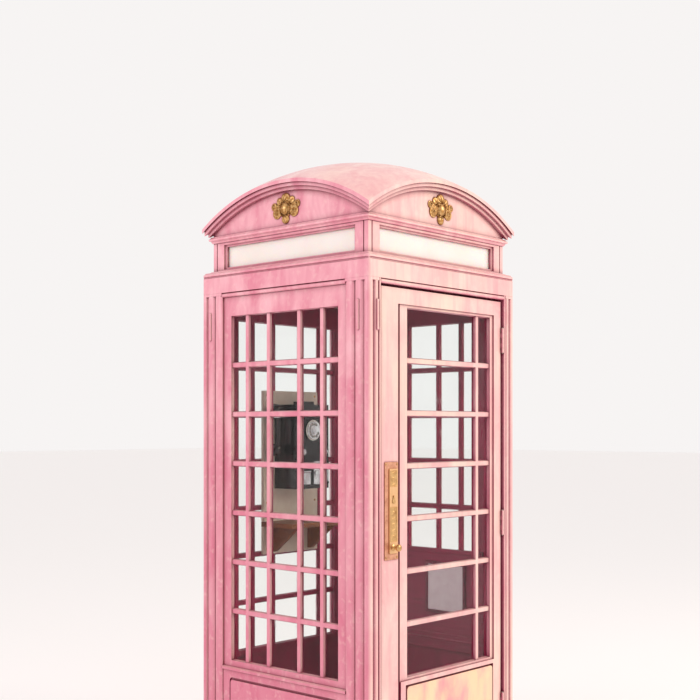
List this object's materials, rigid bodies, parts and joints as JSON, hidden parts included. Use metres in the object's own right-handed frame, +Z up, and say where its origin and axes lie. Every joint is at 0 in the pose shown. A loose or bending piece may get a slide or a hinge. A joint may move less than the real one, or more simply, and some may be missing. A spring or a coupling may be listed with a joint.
{
  "type": "telephone booth",
  "caption": "Square domed cast-iron telephone booth with glazed walls, an outward-opening glazed door and a wall telephone inside.",
  "frame": {"origin": "centre of the base slab's underside, on the ground", "axes": "+Z up, -Y out through the door, +X to the right of a person facing the door from outside"},
  "size_m": [0.941, 0.956, 2.515],
  "materials": {
    "pink_iron": "thick brushed gloss paint over cast iron",
    "ceiling_board": "dark painted board",
    "floor_screed": "trowelled dark screed",
    "sash_timber": "painted hardwood",
    "concrete": "cast concrete",
    "door_timber": "painted hardwood",
    "cream_timber": "painted hardwood with cream patches",
    "dark_timber": "varnished hardwood",
    "dado_timber": "painted panelling",
    "ivory_board": "painted board",
    "notice": "blank painted panel",
    "glass": "clear window glass",
    "opal_glass": "white opal glass",
    "gilt": "aged gilding",
    "brass": "aged brass",
    "steel": "zinc plated steel",
    "chrome": "polished plating",
    "black_enamel": "gloss stove enamel",
    "bakelite": "moulded black plastic"
  },
  "bodies": {
    "booth": {"concrete_base": "concrete", "sill_ring": "pink_iron", "floor_plate": "floor_screed", "threshold": "brass", "post_front_left": "pink_iron", "post_front_right": "pink_iron", "post_back_left": "pink_iron", "post_back_right": "pink_iron", "left_wall": "pink_iron", "right_wall": "pink_iron", "back_wall": "pink_iron", "door_frame": "pink_iron", "casting_bolts": "steel", "tie_bolt_covers": "pink_iron", "left_sash": "sash_timber", "right_sash": "sash_timber", "back_sash": "sash_timber", "left_panes": "glass", "right_panes": "glass", "back_panes": "glass", "frieze_ring": "pink_iron", "fascia_ring": "pink_iron", "sign_panels": "opal_glass", "cornice_ring": "pink_iron", "pediment_ring": "pink_iron", "roof_dome": "pink_iron", "ornament_front": "gilt", "ornament_left": "gilt", "ornament_back": "gilt", "ornament_right": "gilt", "ceiling_panel": "ceiling_board", "lamp_holder": "steel", "lamp_globe": "opal_glass", "hinge_frame_leaves": "steel", "hinge_pins": "steel", "strike_plate": "brass", "backboard": "ivory_board", "phone_case": "black_enamel", "shelf": "dark_timber", "dado_panel": "dado_timber", "notice_board": "notice"},
    "door": {"door_leaf": "door_timber", "door_glazing": "door_timber", "door_panes": "glass", "door_kick_panel": "cream_timber", "hinge_door_leaves": "steel", "lock_plate": "brass", "lock_case": "steel", "inside_pull": "brass"},
    "knob": {"door_knob": "brass"},
    "latch": {"lock_bolt": "brass"},
    "keyhole_flap": {"keyhole_cover": "brass"},
    "dial": {"phone_dial": "chrome"},
    "button_left": {"button_b": "chrome"},
    "button_right": {"button_a": "chrome"},
    "coin_flap": {"return_flap": "chrome"},
    "cash_lid": {"cash_door": "chrome"},
    "hook": {"switch_hook": "chrome"},
    "receiver": {"handset": "bakelite"}
  },
  "joints": [
    {"name": "door_hinge", "type": "hinge", "parent": "booth", "child": "door", "pos_m": [0.3825, -0.4516, 1], "axis": [0, 0, 1], "range_deg": [0, 90]},
    {"name": "knob_turn", "type": "hinge", "parent": "door", "child": "knob", "pos_m": [-0.314, -0.4575, 1], "axis": [0, 1, 0], "range_deg": [0, 60]},
    {"name": "latch_slide", "type": "slide", "parent": "door", "child": "latch", "axis": [-1, 0, 0], "range_m": [0, 0.018]},
    {"name": "keyhole_cover_swing", "type": "hinge", "parent": "door", "child": "keyhole_flap", "pos_m": [-0.314, -0.4575, 1.187], "axis": [0, 1, 0], "range_deg": [-100, 100]},
    {"name": "dial_turn", "type": "hinge", "parent": "booth", "child": "dial", "pos_m": [0, 0.2675, 1.43], "axis": [0, 1, 0], "range_deg": [0, 330], "stiffness_Nm_per_rad": 0.02},
    {"name": "button_a_press", "type": "slide", "parent": "booth", "child": "button_right", "axis": [0, 1, 0], "range_m": [0, 0.008], "stiffness_N_per_m": 300},
    {"name": "button_b_press", "type": "slide", "parent": "booth", "child": "button_left", "axis": [0, 1, 0], "range_m": [0, 0.008], "stiffness_N_per_m": 300},
    {"name": "return_flap_lift", "type": "hinge", "parent": "booth", "child": "coin_flap", "pos_m": [-0.05, 0.263, 1.253], "axis": [-1, 0, 0], "range_deg": [0, 70]},
    {"name": "cash_door_hinge", "type": "hinge", "parent": "booth", "child": "cash_lid", "pos_m": [0.091, 0.263, 1.248], "axis": [0, 0, 1], "range_deg": [0, 100]},
    {"name": "switch_hook_rise", "type": "hinge", "parent": "booth", "child": "hook", "pos_m": [-0.082, 0.33, 1.486], "axis": [0, 1, 0], "range_deg": [0, 10]},
    {"name": "handset_lift", "type": "slide", "parent": "hook", "child": "receiver", "axis": [0, -0.6, 0.8], "range_m": [0, 0.25]}
  ],
  "couplings": [
    {"joint": "latch_slide", "follows": "knob_turn", "m_per_rad": 0.0171}
  ]
}
